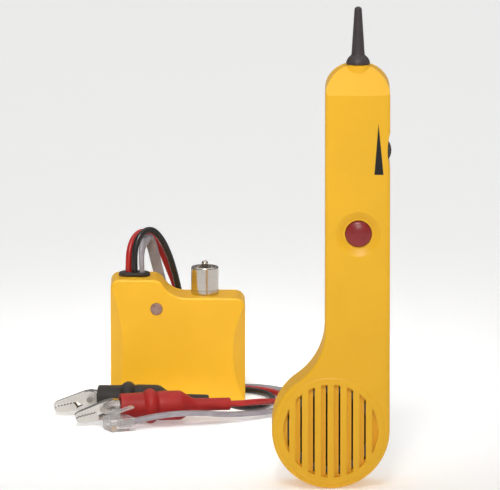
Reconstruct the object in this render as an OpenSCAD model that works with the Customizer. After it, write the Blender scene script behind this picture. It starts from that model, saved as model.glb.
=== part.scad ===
// Tone probe kit: a tone generator with a pair of clip leads, a modular test
// cord and a push-on coax plug, and a hand-held inductive amplifier probe.
// Origin: centre of the generator's base. +X right, +Y to the back, +Z up.

/* [Generator case] */
// Width of the generator case
gen_w = 64; // [60:1:70]
// Depth of the generator case, front to back
gen_d = 24; // [24:1:28]
// Height of the tall left shoulder
gen_h = 59.5; // [58:0.5:62]
// Height of the low right shoulder
gen_low = 50.8; // [49:0.1:52]
// Wall thickness of the generator case
gen_wall = 2; // [1.8:0.1:2.4]

/* [Coax plug] */
// Outer radius of the push-on sleeve
coax_r = 6.6; // [6:0.1:7]
// Inner radius of the sleeve, a push fit on a 9.5 mm coax jack
coax_in = 4.75; // [4.7:0.05:4.9]
// Height of the sleeve above the shoulder
coax_h = 13.3; // [11:0.1:15]

/* [Leads] */
// Diameter of each clip lead
lead_d = 3; // [2.4:0.1:3.2]
// Width of the flat modular cord
flat_w = 5; // [4.6:0.1:5]
// Thickness of the flat modular cord
flat_t = 2.5; // [2:0.1:2.6]

/* [Clips] */
// Radius of the boot's finger ring
ring_r = 8.3; // [7.5:0.1:8.3]
// Length of a jaw from its pivot to its nose
jaw_l = 18; // [17.5:0.5:18.5]

/* [Probe] */
// Width of the probe's handle
probe_w = 29.8; // [29.8:0.1:31]
// Thickness of the probe body
probe_t = 28; // [28:0.5:32]
// Radius of the round speaker head
head_r = 27.1; // [26:0.1:29]
// Height of the case without its tip
case_h = 195.6; // [195:0.2:200]
// Length of the black pick-up tip above the case
tip_l = 26.6; // [24:1:32]
// Wall thickness of the probe case
probe_wall = 1.5; // [1.4:0.1:1.6]
// Radius of the push button
button_r = 5.9; // [5:0.1:6]
// Radius of the volume wheel
wheel_r = 7.5; // [7:0.1:8]

/* [Hidden] */
$fn = 48;
e = 0.01;

yellow = "#f2bd3a";
black = "#2e2b2a";
red = "#c8403c";
nickel = "#b9b4ae";

// ---------------------------------------------------------------- helpers
function arc(c, r, a0, a1, n) = [for (i = [0:n])
  [c[0] + r * cos(a0 + (a1 - a0) * i / n), c[1] + r * sin(a0 + (a1 - a0) * i / n)]];

// a flat shape drawn in X and Z, made solid from y0 to y1
module xz(y0, y1) { translate([0, y1, 0]) rotate([90, 0, 0]) linear_extrude(y1 - y0) children(); }
// a flat shape drawn in Y and Z, made solid from x0 to x1
module yz(x0, x1) { translate([x0, 0, 0]) rotate([90, 0, 90]) linear_extrude(x1 - x0) children(); }
// a block between two corners
module block(a, b) { translate(a) cube([b[0] - a[0], b[1] - a[1], b[2] - a[2]]); }
// a round rod along Y from y0 to y1
module rod_y(x, z, r, y0, y1) { translate([x, y1, z]) rotate([90, 0, 0]) cylinder(r = r, h = y1 - y0); }
// a round rod along Z
module rod_z(x, y, r, z0, z1) { translate([x, y, z0]) cylinder(r = r, h = z1 - z0); }

// ---------------------------------------------------------------- generator
gx = gen_w / 2;
gy = gen_d / 2;
c1 = [-12, gen_h - 6];
c2z = gen_low + 12;
c2 = [c1[0] + sqrt(324 - (c2z - c1[1]) * (c2z - c1[1])), c2z];
sa = atan2(c2[1] - c1[1], c2[0] - c1[0]);

// the case outline seen from the front, drawn in by d
function gen_line(d) = concat(
  arc([-gx + 2.5, 2.5], 2.5 - d, 180, 270, 4),
  arc([gx - 2.5, 2.5], 2.5 - d, 270, 360, 4),
  arc([gx - 5, gen_low - 5], 5 - d, 0, 90, 8),
  arc(c2, 12 + d, 270, 180 + sa, 9),
  arc(c1, 6 - d, sa, 90, 6),
  arc([-gx + 4, gen_h - 4], 4 - d, 90, 180, 6));

// a shallow lens-shaped facet along a front upright edge
module facet(side, z0, hh, depth, d) {
  r = (hh * hh + depth * depth) / (2 * depth);
  translate([side * gx, -gy, z0]) rotate([0, 0, side < 0 ? 225 : 315])
    translate([r - depth, 0, 0]) rotate([90, 0, 0]) cylinder(r = r + d, h = 80, center = true, $fn = 96);
}
module gen_solid(d) {
  difference() {
    xz(-gy + d, gy - d) polygon(gen_line(d));
    facet(-1, 24, 33, 4.1, d);
    facet(1, 24, 24, 4.1, d);
  }
}
coax_x = 12.8;
led_x = -10.2;
led_z = 45.5;
grom_x = -20.7;
door_x1 = 21.7;
sw_y = 5;
sw_z = 42;
gen_screw = [[-26.5, 53.2], [26.5, 36.5]];

module grommet_slot(g) {
  // an oval hole through the tall shoulder, split between the two shells
  for (s = [-1, 1]) rod_z(grom_x + s * 2.9, 0, 3.1 + g, gen_h - 4, gen_h + 4);
  block([grom_x - 2.9, -3.1 - g, gen_h - 4], [grom_x + 2.9, 3.1 + g, gen_h + 4]);
}
module gen_cuts() {
  grommet_slot(0);
  rod_z(coax_x, 0, 4.1, gen_low - 4, gen_low + 4);
}
module gen_front_shell() {
  color(yellow) difference() {
    union() {
      difference() { gen_solid(0); gen_solid(gen_wall); block([-40, 0, -1], [40, 20, 70]); }
      // screw bosses and board rests
      for (p = gen_screw) rod_y(p[0], p[1], 2.4, -gy + 1, 0);
      block([-28, -gy + 1, 31.2], [28, -6.5, 32.6]);
      block([-29, -gy + 1, 1.5], [29, -5, 3.7]);
    }
    gen_cuts();
    rod_y(led_x, led_z, 2.95, -gy - 1, -gy + 4);
    for (p = gen_screw) rod_y(p[0], p[1], 1.15, -gy + 4, 1);
  }
}
module gen_back_shell() {
  color(yellow) difference() {
    union() {
      difference() { gen_solid(0); gen_solid(gen_wall); block([-40, -20, -1], [40, 0, 70]); }
      for (p = gen_screw) rod_y(p[0], p[1], 2.4, 0, gy - 1);
      // rails that hold the sliding battery door
      block([-28.5, 7.5, 1.5], [26, 8.5, 3.6]);
      block([-28.5, 7.5, 31.4], [26, 8.5, 33.4]);
    }
    gen_cuts();
    // door opening, open at the left side so that the door slides out
    block([-gx - 1, gy - gen_wall - 0.2, 4], [door_x1 + 0.3, gy + 1, 31]);
    block([-gx - 1, 8.5, 2.6], [-gx + gen_wall + 0.2, gy + 1, 32.4]);
    // switch window and the finger dish around it
    block([-gx - 1, sw_y - 2, sw_z - 6], [-gx + gen_wall + 1, sw_y + 2, sw_z + 6]);
    translate([-gx - 19, sw_y, sw_z]) rotate([90, 0, 0]) cylinder(r = 20, h = 7, center = true, $fn = 96);
    for (p = gen_screw) { rod_y(p[0], p[1], 1.3, -1, gy + 1); rod_y(p[0], p[1], 2.2, gy - 1.6, gy + 1); }
  }
}
module gen_battery_door() {
  color(yellow) difference() {
    union() {
      block([-gx, 8.8, 4.3], [door_x1, gy, 30.7]);
      block([-gx + 0.1, 8.8, 2.9], [door_x1 + 1.2, 9.7, 32.1]);
      }
    // thumb grip
    for (i = [0:3]) block([8 + i * 2.4, gy - 0.6, 11], [9.2 + i * 2.4, gy + 1, 24]);
  }
}
module gen_case_screws() {
  color("#6f6c69") for (p = gen_screw) difference() {
    union() { rod_y(p[0], p[1], 1.1, -6, gy - 1.6); rod_y(p[0], p[1], 2.1, gy - 1.6, gy - 0.3); }
    block([p[0] - 1.5, gy - 0.9, p[1] - 0.25], [p[0] + 1.5, gy, p[1] + 0.25]);
    block([p[0] - 0.25, gy - 0.9, p[1] - 1.5], [p[0] + 0.25, gy, p[1] + 1.5]);
  }
}
module gen_grommet() {
  color(black) difference() {
    union() {
      intersection() { grommet_slot(-0.02); block([-40, -10, gen_h - 3], [0, 10, gen_h + 1]); }
      for (s = [0, 1]) translate([0, 0, s == 0 ? gen_h : gen_h - 3.2]) {
        for (k = [-1, 1]) rod_z(grom_x + k * 2.9, 0, 4.6, 0, s == 0 ? 2 : 1.2);
        block([grom_x - 2.9, -4.6, 0], [grom_x + 2.9, 4.6, s == 0 ? 2 : 1.2]);
      }
    }
    rod_z(-23.6, 1.1, lead_d / 2 + 0.1, gen_h - 5, gen_h + 5);
    rod_z(-20.6, -0.5, lead_d / 2 + 0.1, gen_h - 5, gen_h + 5);
    block([-17.1 - flat_t / 2 - 0.1, -flat_w / 2 - 0.1, gen_h - 5], [-17.1 + flat_t / 2 + 0.1, flat_w / 2 + 0.1, gen_h + 5]);
  }
}
module gen_status_led() {
  color("#c9b7ae") {
    rod_y(led_x, led_z, 2.8, -gy - 0.4, -gy + 3);
    intersection() {
      translate([led_x, -gy - 0.4 + 2.3, led_z]) sphere(r = 3.62);
      rod_y(led_x, led_z, 2.8, -gy - 3, -gy - 0.39);
    }
    rod_y(led_x, led_z, 3.2, -gy + 2.2, -gy + 3);
    for (s = [-1, 1]) rod_y(led_x + s * 1.27, led_z, 0.3, -gy + 2.9, -6.9);
  }
}
module gen_circuit_board() {
  color("#2f6b3a") difference() {
    xz(-8.4, -6.8) polygon([[-27, 33], [27, 33], [27, 47], [3, 47], [-12, 54], [-22.5, 54], [-22.5, 50], [-27, 50]]);
    for (s = [-1, 1]) rod_y(led_x + s * 1.27, led_z, 0.4, -9, -6);
    rod_y(26.5, 36.5, 2.9, -9, -6);
  }
  // a tone chip and a few parts on the board
  color("#222222") block([-2, -6.8, 36], [8, -4.8, 42]);
  color("#3a3f55") rod_y(-17, 40, 2.5, -6.8, -1.5);
  color("#3a3f55") rod_y(16, 40, 2.5, -6.8, -1.5);
}
module gen_switch_body() {
  color("#9a9a98") block([-28.5, 1.2, 33.7], [-24, 7.2, 49.8]);
}
module gen_switch_slider() {
  color(black) {
    block([-29.7, sw_y - 3, sw_z - 5.5], [-28.9, sw_y + 3, sw_z + 5.5]);
    difference() {
      block([-gx, sw_y - 1.7, sw_z - 2.2], [-29.2, sw_y + 1.7, sw_z + 2.2]);
      for (i = [-1:1]) block([-gx - 1, sw_y - 2, sw_z + i * 1.3 - 0.25], [-gx + 0.4, sw_y + 2, sw_z + i * 1.3 + 0.25]);
    }
  }
}
module nine_volt() {
  // a 9 V block battery lying along X, terminals at -X
  color("#4b5a78") block([-22, -8.75, 0], [24.3, 8.65, 26.2]);
  color(nickel) {
    translate([-22, 0, 6.8]) rotate([0, -90, 0]) cylinder(r = 2.9, h = 2.2);
    translate([-22, 0, 19.4]) rotate([0, -90, 0]) cylinder(r = 3.6, h = 2.2, $fn = 6);
  }
}
module gen_battery() { translate([0, -0.2, 4]) nine_volt(); }
module battery_snap() {
  color(black) difference() {
    block([-25.6, -6.2, 1.6], [-22.4, 6.2, 24.6]);
    translate([-22, 0, 6.8]) rotate([0, -90, 0]) cylinder(r = 3.2, h = 2.5);
    translate([-22, 0, 19.4]) rotate([0, -90, 0]) cylinder(r = 3.9, h = 2.5);
  }
}
module gen_battery_snap() { translate([0, -0.2, 4]) battery_snap(); }

// ---------------------------------------------------------------- coax plug
module coax_sleeve() {
  z0 = gen_low;
  color(nickel) translate([coax_x, 0, 0]) rotate_extrude($fn = 96) polygon([
    [2.2, z0 - 7], [4.0, z0 - 7], [4.0, z0], [coax_r - 0.3, z0], [coax_r, z0 + 0.3], [coax_r, z0 + coax_h - 0.5],
    [coax_r - 0.5, z0 + coax_h], [coax_in + 0.4, z0 + coax_h], [coax_in, z0 + coax_h - 0.4],
    [coax_in, z0 + 3], [2.2, z0 + 3]]);
}
module coax_insulator() {
  z0 = gen_low;
  color("#eceae4") translate([coax_x, 0, 0]) rotate_extrude() polygon([
    [0.6, z0 - 7], [2.15, z0 - 7], [2.15, z0 + 3.05], [coax_in - 0.1, z0 + 3.05], [coax_in - 0.1, z0 + 4.2], [0.6, z0 + 4.2]]);
}
module coax_center_pin() {
  z1 = gen_low + coax_h;
  color(nickel) {
    rod_z(coax_x, 0, 0.58, gen_low - 9.5, z1 + 0.5);
    rod_z(coax_x, 0, 1.1, gen_low + 4.3, z1 + 0.5);
    translate([coax_x, 0, z1 + 1.1]) sphere(r = 1.65);
  }
}
module coax_nut() {
  color("#a8a49c") difference() {
    rod_z(coax_x, 0, 5.6, gen_low - 4.6, gen_low - 2, $fn = 6);
    rod_z(coax_x, 0, 4.05, gen_low - 6, gen_low);
  }
}

// ---------------------------------------------------------------- leads
// Routes: out of the grommet, over in an arch, down behind the case, along
// the bench around its right side, and forward to the clips and the plug.
red_route = [[-23.6, 1.1, 55.5], [-23.6, 1.1, 62], [-23.5, 1.5, 66.3], [-23.2, 2.5, 70.4], [-22.3, 4.3, 74.1], [-20.7, 6.7, 77],
  [-18.5, 9.5, 78.6], [-16, 12.3, 78.5], [-13.2, 14.9, 76.4], [-10.3, 17.1, 72.2], [-7.4, 18.8, 66.4], [-4.6, 19.9, 59.4],
  [-1.8, 20.6, 52], [1, 21, 43], [4.2, 21, 33], [8, 20.7, 22.5], [13, 20.2, 12.5], [19, 19.6, 5.5], [26.5, 18.8, 2],
  [34, 16.6, 1.6], [41, 12.5, 1.6], [46.5, 6, 1.6], [49.8, -2, 1.6], [51.2, -10.5, 1.9], [51, -19, 2.6],
  [49.2, -27.5, 3.8], [45.8, -36, 5.3], [41.5, -44, 6.8], [36.5, -51, 7.9], [31, -56, 8.3], [25, -57.7, 8.3], [4, -60.6, 8.3]];
black_route = [[-20.6, -0.5, 55.5], [-20.6, -0.5, 62], [-20.7, -0.5, 66], [-20.6, -0.2, 70.5], [-19.8, 0.7, 74.8], [-18.2, 2.1, 78.3],
  [-15.6, 3.9, 80.5], [-12.7, 6, 80.6], [-10, 8, 78.5], [-7.4, 9.9, 74.6], [-5, 11.6, 69.4], [-3, 13, 63.4],
  [-1.2, 14.2, 56.8], [0.4, 15, 49.5], [2.2, 15.3, 40.5], [4.5, 15.2, 31], [7.5, 15, 21.5], [11.5, 14.7, 12.5],
  [17, 14.6, 5.5], [24, 14.8, 2], [31, 14.2, 1.6], [37, 11, 1.6], [41.5, 5.2, 1.6], [44.2, -2, 1.6], [45.2, -10, 1.6],
  [44.4, -18.5, 1.6], [42, -26.5, 1.6], [38, -33.5, 1.9], [33, -40, 3], [27.5, -45.6, 4.9], [21.5, -49.3, 7.2],
  [15, -50.4, 8.3], [-6, -47.4, 8.3]];
// the fourth number is the bearing of the cord's wide side, in degrees
flat_route = [[-17.1, 0, 55.5, 90], [-17.1, 0, 62, 90], [-17.3, 0.3, 66.3, 88], [-17.3, 1.2, 70.5, 80], [-16.7, 2.9, 74.1, 65],
  [-15.8, 5.3, 76.4, 45], [-14.8, 8, 76.8, 30], [-13.6, 10.6, 75, 15], [-12.5, 12.8, 71.6, 5], [-11.4, 14.5, 67, 0],
  [-10.1, 15.7, 61.5, -5], [-8.6, 16.6, 55.3, -10], [-7, 17.2, 48, -15], [-5.8, 17.7, 40, -20], [-4.6, 18, 31.5, -30],
  [-3, 18.2, 23, -45], [-0.8, 18.6, 15, -60], [3.4, 19.4, 8, -75], [9, 21, 3.2, -80], [16, 23, 1.4, -80],
  [24, 24.4, 1.3, -85], [32.5, 24, 1.3, -100], [40.5, 21.2, 1.3, -115], [47.5, 16, 1.3, -130], [53, 9, 1.3, -145],
  [56.8, 0.5, 1.3, -160], [58.6, -9, 1.3, -175], [58.2, -19, 1.3, -190], [55.6, -28.5, 1.5, -205], [51, -37, 1.8, -215],
  [45, -44.5, 2.2, -225], [38, -51, 2.7, -230], [30, -56.8, 3.2, -235], [21.5, -62.3, 4.1, -240], [13, -67.3, 5.5, -243],
  [4.5, -71.2, 6.3, -248], [-4, -73.8, 6.2, -255], [-12, -75.2, 5.2, -255], [-17.5, -76, 4.1, -250],
  [-22, -77.5, 3.4, -245], [-28, -80.3, 3.3, -245]];

function unit(v) = v / norm(v);
function xyz(p) = [p[0], p[1], p[2]];
function heading(R, i) = unit(xyz(R[min(i + 1, len(R) - 1)]) - xyz(R[max(i - 1, 0)]));
// side vector: level, or along the stated bearing, and square to the heading
function side(R, i) = let (t = heading(R, i), w = [cos(R[i][3]), sin(R[i][3]), 0]) unit(w - (w * t) * t);
function twist_free(R, i) = i == 0 ? unit([1, 0.3, 0] - ([1, 0.3, 0] * heading(R, 0)) * heading(R, 0))
  : let (u = twist_free(R, i - 1), t = heading(R, i)) unit(u - (u * t) * t);
function ring(R, i, u, a, b) = let (t = heading(R, i), v = cross(t, u))
  [for (k = [0:7]) xyz(R[i]) + a * cos(k * 45 + 22.5) * u + b * sin(k * 45 + 22.5) * v];
module sweep(R, a, b, flat) {
  n = len(R);
  pts = [for (i = [0:n - 1]) each ring(R, i, flat ? side(R, i) : twist_free(R, i), a, b)];
  faces = concat([[for (k = [0:7]) k]],
    [for (i = [0:n - 2], k = [0:7]) [i * 8 + k, (i + 1) * 8 + k, (i + 1) * 8 + (k + 1) % 8, i * 8 + (k + 1) % 8]],
    [[for (k = [7:-1:0]) (n - 1) * 8 + k]]);
  polyhedron(points = pts, faces = faces, convexity = 10);
}
module red_lead() { color(red) sweep(red_route, lead_d / 2, lead_d / 2, false); }
module black_lead() { color(black) sweep(black_route, lead_d / 2, lead_d / 2, false); }
module modular_cord() { color("#a9a3b4") sweep(flat_route, flat_w / 2, flat_t / 2, true); }

// ---------------------------------------------------------------- clips
// Clip frame: origin on the boot's axis inside its finger ring, nose to -X.
red_at = [-12.9, -63, ring_r];
black_at = [-23.3, -45, ring_r];
yaw = 8;
nose_down = 14;
pivot = [-18, 0, -0.4];

module at_red() { translate(red_at) rotate([0, 0, yaw]) children(); }
module at_black() { translate(black_at) rotate([0, 0, -yaw]) children(); }
module in_clip() { translate(pivot) rotate([0, -nose_down, 0]) children(); }

module boot() {
  rotate([0, 90, 0]) rotate([0, 0, 90]) rotate_extrude($fn = 64) polygon(concat(
    [[5.4, -14.3], [6.2, -14.3], [6.5, -2.8]],
    [for (i = [1:7]) [6.5 + 1.8 * sin(i * 22.5), -2.8 + i * 0.7]],
    [[7.0, 2.9], [7.0, 14], [6.4, 15.4], [3.2, 20.4], [3.05, 22], [3.0, 37.8], [2.6, 38.3],
     [1.8, 38.3], [1.8, 16.5], [5.4, 13]]));
}
// side view of a jaw's tooth line, from the nose to the root
function teeth(x0, n, pitch, deep) = [for (i = [0:2 * n]) [x0 + i * pitch / 2, i % 2 == 0 ? 0 : deep]];

module upper_jaw() {
  color(nickel) difference() {
    intersection() {
      xz(-2.35, 2.35) polygon(concat([[-jaw_l, 0.2]],
        [for (p = teeth(-jaw_l + 1, 6, 1.5, 0.7)) [p[0], p[1] + 0.2]],
        [[-6.5, 0.4], [-4.5, -1.5], [-2, -2.6], [2, -2.6], [3.4, 0.6], [12.5, 1.2], [12.5, 1.9], [4.4, 2.9], [1.5, 3.9], [-2, 4.3], [-jaw_l + 1.2, 2.3], [-jaw_l, 1.5]]));
      // the jaw narrows to its nose
      linear_extrude(20, center = true) polygon([[-jaw_l, -1.5], [-4, -2.35], [13, -2.35], [13, 2.35], [-4, 2.35], [-jaw_l, 1.5]]);
    }
    // the channel inside
    intersection() {
      xz(-1.85, 1.85) polygon([[-jaw_l + 0.6, -1], [-7, -3], [2.2, -3], [2.4, -1], [2.7, 1.2], [1.2, 3.3], [-2, 3.75], [-jaw_l + 1.4, 1.8], [-jaw_l + 0.6, 1.2]]);
      linear_extrude(20, center = true) polygon([[-jaw_l, -1], [-4, -1.85], [13, -1.85], [13, 1.85], [-4, 1.85], [-jaw_l, 1]]);
    }
    rod_y(0, 0, 0.86, -5, 5);
  }
}
module lower_jaw() {
  color(nickel) difference() {
    union() {
      intersection() {
        xz(-2.35, 2.35) polygon(concat(
          [for (p = teeth(-jaw_l + 1, 6, 1.5, 0.7)) [p[0], p[1] - 0.3]],
          [[-7.2, -0.3], [-7, -2.2], [-4, -3.6], [-4, -4.2], [-jaw_l + 3, -3.3], [-jaw_l + 0.6, -2.4], [-jaw_l, -1.4], [-jaw_l, -0.3]]));
        linear_extrude(20, center = true) polygon([[-jaw_l, -1.5], [-4, -2.35], [0, -2.35], [0, 2.35], [-4, 2.35], [-jaw_l, 1.5]]);
      }
      // ears outside the upper jaw
      xz(-3.25, 3.25) polygon(concat([[-8, -3.4], [-7.6, -2.6]], arc([0, 0], 4.1, 205, 0, 12),
        [[4, -2], [3.4, -4.6], [0, -4.7]]));
    }
    // the channel inside, open at the top
    intersection() {
      xz(-1.85, 1.85) polygon([[-jaw_l + 0.6, 1], [-4, 1], [-4, -3.2], [-jaw_l + 3, -2.7], [-jaw_l + 1, -2], [-jaw_l + 0.6, -1.4]]);
      linear_extrude(20, center = true) polygon([[-jaw_l, -1], [-4, -1.85], [0, -1.85], [0, 1.85], [-4, 1.85], [-jaw_l, 1]]);
    }
    xz(-2.75, 2.75) polygon([[-6.9, -3.0], [-9, 3], [-9, 6], [5, 6], [5, -4.1], [1, -4.1]]);
    rod_y(0, 0, 0.86, -5, 5);
  }
  // the handle inside the boot
  color(nickel) xz(-2.85, 2.85) polygon([[2.2, -4.11], [3.4, -4.15], [12.5, -6.05], [12.5, -6.6], [3.3, -4.65], [2.2, -4.62]]);
}
module clip_pivot() {
  color("#cfcac2") {
    rod_y(0, 0, 0.8, -3.5, 3.5);
    for (s = [-1, 1]) translate([0, s * 3.5, 0]) rotate([90, 0, 0]) cylinder(r = 1.35, h = 0.44, center = true);
  }
}
module clip_spring() {
  // the coil of the torsion spring around the pivot
  color("#8f8b86") translate([0, 1.4, 0]) rotate([90, 0, 0]) rotate_extrude($fn = 32) polygon(concat(
    [[1.1, 0]], [for (i = [0:5]) each [[1.55, i * 0.47], [1.8, i * 0.47 + 0.23]]], [[1.55, 2.82], [1.1, 2.82]]));
}
module red_boot() { color(red) at_red() boot(); }
module red_lower_jaw() { at_red() in_clip() lower_jaw(); }
module red_upper_jaw() { at_red() in_clip() upper_jaw(); }
module red_clip_pivot() { at_red() in_clip() clip_pivot(); }
module red_clip_spring() { at_red() in_clip() clip_spring(); }
module black_boot() { color(black) at_black() boot(); }
module black_lower_jaw() { at_black() in_clip() lower_jaw(); }
module black_upper_jaw() { at_black() in_clip() upper_jaw(); }
module black_clip_pivot() { at_black() in_clip() clip_pivot(); }
module black_clip_spring() { at_black() in_clip() clip_spring(); }

// ---------------------------------------------------------------- modular plug
// Plug frame: origin under the middle of the plug, nose to -X, latch on top.
module at_plug() { translate([-27.4, -80, 0]) rotate([0, 0, 25]) children(); }
module plug_body() {
  color([0.85, 0.83, 0.84, 0.6]) at_plug() difference() {
    union() {
      block([-6.15, -4.83, 0.05], [6.15, 4.83, 6.2]);
      block([-6.15, -4.83, 6.1], [-4.2, 4.83, 6.6]);
    }
    // cord pocket, wire channels, contact slots, nose step and latch seat
    block([-1.2, -2.75, 1.75], [7, 2.75, 4.85]);
    block([-5.4, -2.2, 2.6], [-1.1, 2.2, 3.9]);
    for (i = [-1.5:1:1.5]) block([-5.2, i * 1.02 - 0.22, -1], [-2.4, i * 1.02 + 0.22, 2.4]);
    block([-7, -5, -1], [-5.6, 5, 0.6]);
    block([-6.3, -1.9, 5.4], [-3.9, 1.9, 7]);
  }
}
module plug_contacts() {
  color("#d9b25a") at_plug() for (i = [-1.5:1:1.5]) block([-5.1, i * 1.02 - 0.16, 0.35], [-2.5, i * 1.02 + 0.16, 2.35]);
}
module plug_latch() {
  color([0.85, 0.83, 0.84, 0.6]) at_plug() {
    // rounded root that the latch bends about, and the arm
    rod_y(-5.1, 6.2, 0.6, -1.6, 1.6);
    xz(-1.6, 1.6) polygon([[-5.7, 6.2], [-4.5, 6.2], [-4.1, 6.8], [-1, 8.0], [7.2, 10.1], [7.2, 11], [-1.4, 9], [-1.4, 9.6], [-4.6, 8.2], [-5.7, 6.8]]);
    xz(-3, 3) polygon([[-4.4, 6.9], [-1, 8.0], [-1.4, 9.6], [-4.6, 8.2]]);
  }
}

// ---------------------------------------------------------------- probe
px = 83.6;
py = -210;
hw = probe_w / 2;
ht = probe_t / 2;
hx = hw - head_r;
fil = 30;
fcx = -hw - fil;
fcz = head_r + sqrt((fil + head_r) * (fil + head_r) - (hx - fcx) * (hx - fcx));
fa = atan2(fcz - head_r, hx - fcx);
dome_z = case_h - 13.6;

function probe_line(d) = concat(
  arc([hw - 14, dome_z], 14 - d, 0, 76, 10),
  arc([-hw + 14, dome_z], 14 - d, 104, 180, 10),
  arc([fcx, fcz], fil + d, 0, -fa, 12),
  arc([hx, head_r], head_r - d, 180 - fa, 360, 44));

// side view: full thickness, then sloping in to the tip above the shoulder
function side_line(d) = [[-ht + d, -1], [ht - d, -1], [ht - d, dome_z + 1.1 - 0.3 * d], [4.6 - 0.5 * d, case_h + 0.1],
  [-4.6 + 0.5 * d, case_h + 0.1], [-ht + d, dome_z + 1.1 - 0.3 * d]];
module probe_solid(d) {
  intersection() {
    xz(-ht + d, ht - d) polygon(probe_line(d));
    yz(-60, 60) polygon(side_line(d));
  }
}
module tip_boss() intersection() {
  translate([0.2, 0, case_h - 8]) cylinder(r = 7.3, h = 8, $fn = 96);
  xz(-10, 10) polygon(probe_line(0));
}

btn_x = 0.4;
btn_z = 118.7;
whl_x = hw + 0.6 - wheel_r;
whl_z = 157.3;
slot_w = 2.94;
slot_pitch = 5.87;
grille_r = 21.7;
probe_screw = [[hx - 16.4, 43.5], [hx + 16.4, 10.7], [0.2, 179.5]];
door = [-11.5, 56, 11.5, 112];

module at_probe() { translate([px, py, 0]) children(); }
module probe_cuts() {
  translate([0.2, 0, case_h - 8]) cylinder(r = 2.6, h = 12);
  // finger scoop and slot for the volume wheel
  translate([hw + 30 - 1.2, 0, whl_z]) rotate([90, 0, 0]) cylinder(r = 30, h = 60, center = true, $fn = 128);
}
module wheel_slot() { block([whl_x + 2, -12.6, whl_z - 7], [hw + 2, -8.6, whl_z + 7]); }

module probe_front_shell() {
  color(yellow) at_probe() difference() {
    union() {
      difference() {
        union() { probe_solid(0); tip_boss(); }
        probe_solid(probe_wall);
        block([-60, 0, -5], [60, 40, 220]);
      }
      intersection() {
        union() {
          // grille backing, button pad, screw posts, tip socket
          rod_y(hx, head_r, 24.2, -ht + 0.5, -ht + 3);
          rod_y(btn_x, btn_z, 12, -ht + 0.5, -ht + 3.4);
          for (p = probe_screw) rod_y(p[0], p[1], 2.6, -ht + 0.5, 0);
          translate([0.2, 0, case_h - 8]) cylinder(r = 4.2, h = 7.5);
          block([hw - 2, -13, whl_z - 13], [hw - 0.5, 13, whl_z + 13]);
        }
        probe_solid(0.2);
        block([-60, -20, -5], [60, 0, 220]);
      }
    }
    // slots in the front, then the narrow slits behind them
    intersection() {
      rod_y(hx, head_r, grille_r, -ht - 1, -ht + 1.7);
      for (i = [-3.5:1:3.5]) block([hx + i * slot_pitch - slot_w / 2, -ht - 1, 0], [hx + i * slot_pitch + slot_w / 2, -ht + 1.7, 60]);
    }
    intersection() {
      rod_y(hx, head_r, grille_r - 1.2, -ht - 1, -ht + 5);
      for (i = [-3.5:1:2.5]) block([hx + i * slot_pitch + slot_w / 2 - 0.95, -ht - 1, 0], [hx + i * slot_pitch + slot_w / 2, -ht + 5, 60]);
    }
    // button dish and hole
    translate([btn_x, -ht + 1.6, btn_z]) rotate([90, 0, 0]) cylinder(r1 = 7.2, r2 = 10.4, h = 1.62);
    rod_y(btn_x, btn_z, button_r + 0.3, -ht - 1, -ht + 5);
    probe_cuts();
    wheel_slot();
    for (p = probe_screw) rod_y(p[0], p[1], 1.15, -ht + 4, 1);
  }
}
module probe_back_shell() {
  color(yellow) at_probe() difference() {
    union() {
      difference() {
        union() { probe_solid(0); tip_boss(); }
        probe_solid(probe_wall);
        block([-60, -40, -5], [60, 0, 220]);
      }
      intersection() {
        union() {
          for (p = probe_screw) rod_y(p[0], p[1], 2.6, 0, ht - 0.5);
          // battery shelf and stop, and the wall behind the wheel scoop
          block([-20, 5, 57.3], [14, 13, 59.3]);
          block([-14, 5, 112], [14, 13, 113.2]);
          block([hw - 2, -13, whl_z - 13], [hw - 0.5, 13, whl_z + 13]);
          translate([0.2, 0, case_h - 8]) cylinder(r = 4.2, h = 7.5);
        }
        probe_solid(0.2);
        block([-60, 0, -5], [60, 20, 220]);
      }
    }
    block([door[0], ht - 2, door[1]], [door[2], ht + 1, door[3]]);
    probe_cuts();
    for (p = probe_screw) {
      rod_y(p[0], p[1], 1.3, -1, ht + 1);
      rod_y(p[0], p[1], 2.3, ht - 1.6, ht + 1);
    }
  }
}
module probe_battery_door() {
  color(yellow) at_probe() difference() {
    union() {
      block([door[0] + 0.3, ht - 1.5, door[1] + 0.3], [door[2] - 0.3, ht, door[3] - 0.3]);
      // spring catch at the top end
      block([-3, ht - 2.4, door[3] - 3.4], [3, ht - 1.4, door[3] - 0.3]);
    }
    for (i = [0:4]) block([-5, ht - 0.6, door[3] - 8 - i * 2.2], [5, ht + 1, door[3] - 7 - i * 2.2]);
  }
}
module probe_case_screws() {
  color("#6f6c69") at_probe() for (p = probe_screw) difference() {
    union() { rod_y(p[0], p[1], 1.1, -5, ht - 1.6); rod_y(p[0], p[1], 2.2, ht - 1.6, ht - 0.3); }
    block([p[0] - 1.6, ht - 0.9, p[1] - 0.25], [p[0] + 1.6, ht, p[1] + 0.25]);
    block([p[0] - 0.25, ht - 0.9, p[1] - 1.6], [p[0] + 0.25, ht, p[1] + 1.6]);
  }
}
module probe_tip() {
  color("#3a3639") at_probe() translate([0.2, 0, case_h]) difference() {
    rotate_extrude($fn = 64) polygon([[0, -7], [2.5, -7], [2.5, 0], [5.5, 0], [5.5, 0.7], [5.2, 1.8], [4.4, 3.1], [3.4, 4.0],
      [3.1, 4.15], [1.75, tip_l - 1.2], [1.45, tip_l - 0.4], [0.9, tip_l], [0, tip_l]]);
    translate([0, 0, -8]) cylinder(r = 1.05, h = tip_l - 2);
  }
}
module pickup_rod() {
  color("#b98d4a") at_probe() rod_z(0.2, 0, 1, case_h - 12, case_h + tip_l - 11);
}
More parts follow.
